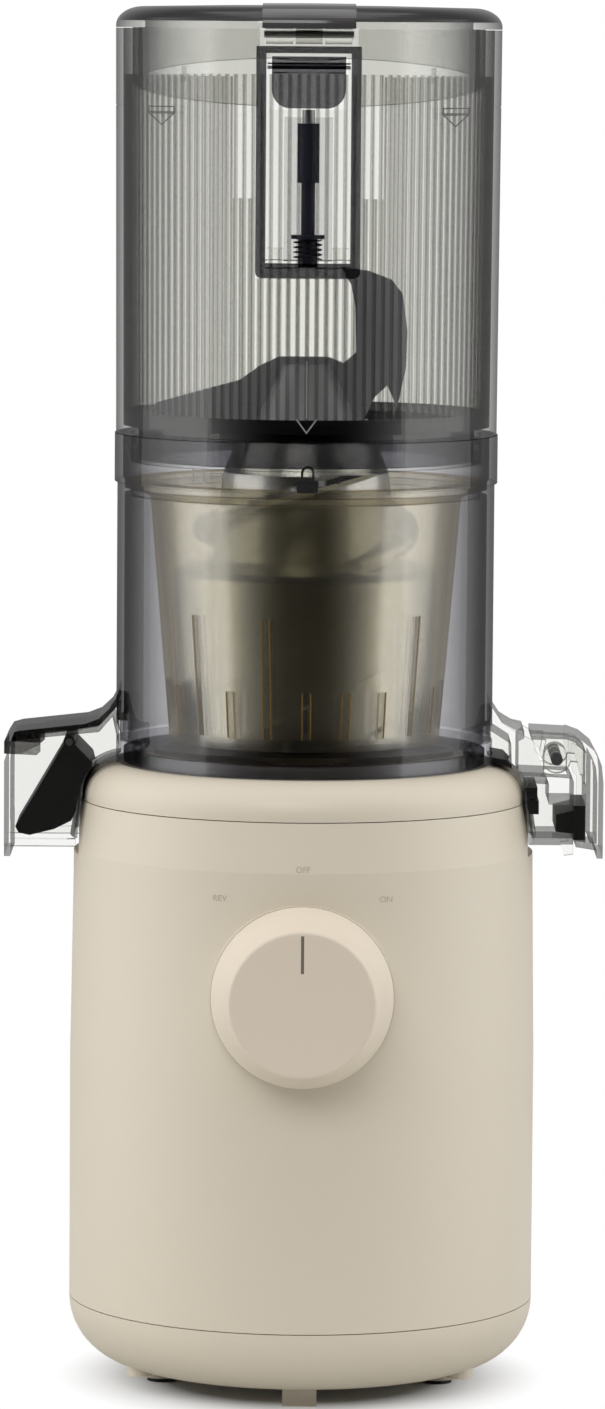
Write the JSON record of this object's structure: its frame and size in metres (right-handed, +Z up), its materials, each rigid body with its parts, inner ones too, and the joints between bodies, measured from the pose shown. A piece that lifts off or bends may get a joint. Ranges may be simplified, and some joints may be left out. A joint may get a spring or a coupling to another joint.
{
  "type": "cold press juicer",
  "caption": "Vertical cold press juicer: round beige motor base with a front knob, clear smoked chamber with pulp and juice spouts, clear hopper with a hinged lid and safety interlock.",
  "frame": {"origin": "on the drive axis, on the surface that the feet stand on", "axes": "+Z up along the drive axis, -Y towards the front with the knob, +X towards the juice spout"},
  "size_m": [0.1944, 0.1835, 0.4501],
  "materials": {
    "beige_shell": "satin moulded plastic",
    "beige_knob": "fine matt moulded plastic",
    "marker_paint": "printed line",
    "black_rubber": "matt silicone",
    "black_plastic": "satin moulded plastic",
    "steel": "turned",
    "zinc_plate": "zinc plated",
    "circuit_board": "solder mask",
    "brass": "turned",
    "white_nylon": "moulded",
    "smoke_clear": "clear smoke tint",
    "amber_clear": "clear amber tint",
    "cream_plastic": "moulded",
    "dark_plastic": "moulded",
    "smoke_dark": "dark smoke tint"
  },
  "bodies": {
    "base": {"body_shell": "beige_shell", "top_cover": "beige_shell", "bottom_cap": "beige_shell", "foot_pads": "black_rubber", "housing_screws": "steel", "cord_inlet": "black_plastic", "deck_seal": "black_rubber", "control_board": "circuit_board", "board_parts": "black_plastic", "rotary_switch": "black_plastic", "motor_can": "zinc_plate", "motor_bearings": "steel", "motor_screws": "steel", "lower_plate": "zinc_plate", "upper_plate": "zinc_plate", "plate_spacers": "steel", "output_bearings": "steel", "idler_bushes": "brass"},
    "rotor": {"rotor_core": "zinc_plate", "rotor_shaft": "steel", "cooling_fan": "black_plastic", "motor_pinion": "brass"},
    "idler": {"idler_shaft": "steel", "idler_wheel": "white_nylon", "idler_pinion": "steel"},
    "drive": {"output_gear": "white_nylon", "drive_shaft": "steel"},
    "knob": {"knob": "beige_knob", "knob_marker": "marker_paint", "knob_shaft": "steel"},
    "chamber": {"chamber": "smoke_clear", "chamber_gasket": "black_rubber", "shaft_seal": "black_rubber", "strainer": "amber_clear", "pulp_spout": "smoke_clear", "pulp_cover": "smoke_clear", "juice_spout": "smoke_clear", "spout_gaskets": "black_rubber", "cap_pin": "steel", "flap_rod": "steel"},
    "pulp_flap": {"pulp_flap": "black_rubber"},
    "juice_cap": {"juice_cap": "smoke_clear", "cap_stopper": "black_rubber"},
    "screw": {"auger": "cream_plastic", "auger_socket": "steel", "cutting_wing": "dark_plastic"},
    "hopper": {"hopper": "smoke_clear", "hopper_funnel": "black_plastic", "lid_hinge_pin": "steel"},
    "lid": {"lid": "smoke_dark", "lid_strip": "smoke_dark", "tongue_panel": "smoke_clear", "tongue_frame": "black_plastic", "rod_housing": "smoke_clear", "tab_pin": "steel", "rod_spring": "steel"},
    "finger_tab": {"finger_tab": "dark_plastic"},
    "interlock": {"interlock_rod": "black_plastic", "interlock_pin": "steel"}
  },
  "joints": [
    {"name": "knob_turn", "type": "hinge", "parent": "base", "child": "knob", "pos_m": [0, -0.0767, 0.1364], "axis": [0, 1, 0], "range_deg": [-40, 40]},
    {"name": "chamber_lift", "type": "slide", "parent": "base", "child": "chamber", "axis": [0, 0, 1], "range_m": [0, 0.05]},
    {"name": "screw_spin", "type": "hinge", "parent": "chamber", "child": "screw", "pos_m": [0, 0, 0.21], "axis": [0, 0, 1], "continuous": true},
    {"name": "drive_spin", "type": "hinge", "parent": "base", "child": "drive", "pos_m": [0, 0, 0.13], "axis": [0, 0, 1], "continuous": true},
    {"name": "idler_spin", "type": "hinge", "parent": "base", "child": "idler", "pos_m": [0, 0.036, 0.12], "axis": [0, 0, 1], "continuous": true},
    {"name": "motor_spin", "type": "hinge", "parent": "base", "child": "rotor", "pos_m": [0, 0, 0.08], "axis": [0, 0, 1], "continuous": true},
    {"name": "flap_swing", "type": "hinge", "parent": "chamber", "child": "pulp_flap", "pos_m": [-0.0762, 0, 0.2111], "axis": [0, 1, 0], "range_deg": [0, 3], "stiffness_Nm_per_rad": 0.01, "springref_deg": -2.86},
    {"name": "cap_swing", "type": "hinge", "parent": "chamber", "child": "juice_cap", "pos_m": [0.0821, 0, 0.2064], "axis": [0, -1, 0], "range_deg": [0, 60]},
    {"name": "hopper_twist", "type": "hinge", "parent": "chamber", "child": "hopper", "pos_m": [0, 0, 0.3112], "axis": [0, 0, 1], "range_deg": [-30, 0]},
    {"name": "lid_swing", "type": "hinge", "parent": "hopper", "child": "lid", "pos_m": [0, 0.0668, 0.4404], "axis": [-1, 0, 0], "range_deg": [0, 100]},
    {"name": "tab_swing", "type": "hinge", "parent": "lid", "child": "finger_tab", "pos_m": [0, -0.0591, 0.4302], "axis": [-1, 0, 0], "range_deg": [0, 15], "stiffness_Nm_per_rad": 0.05, "springref_deg": -5.73},
    {"name": "rod_slide", "type": "slide", "parent": "lid", "child": "interlock", "axis": [0, 0, 1], "range_m": [-0.003, 0], "stiffness_N_per_m": 300, "springref_m": 0.002, "deforming": ["rod_spring"]}
  ],
  "couplings": [
    {"joint": "drive_spin", "follows": "screw_spin", "ratio": 1},
    {"joint": "idler_spin", "follows": "screw_spin", "ratio": -4},
    {"joint": "motor_spin", "follows": "screw_spin", "ratio": 20}
  ]
}
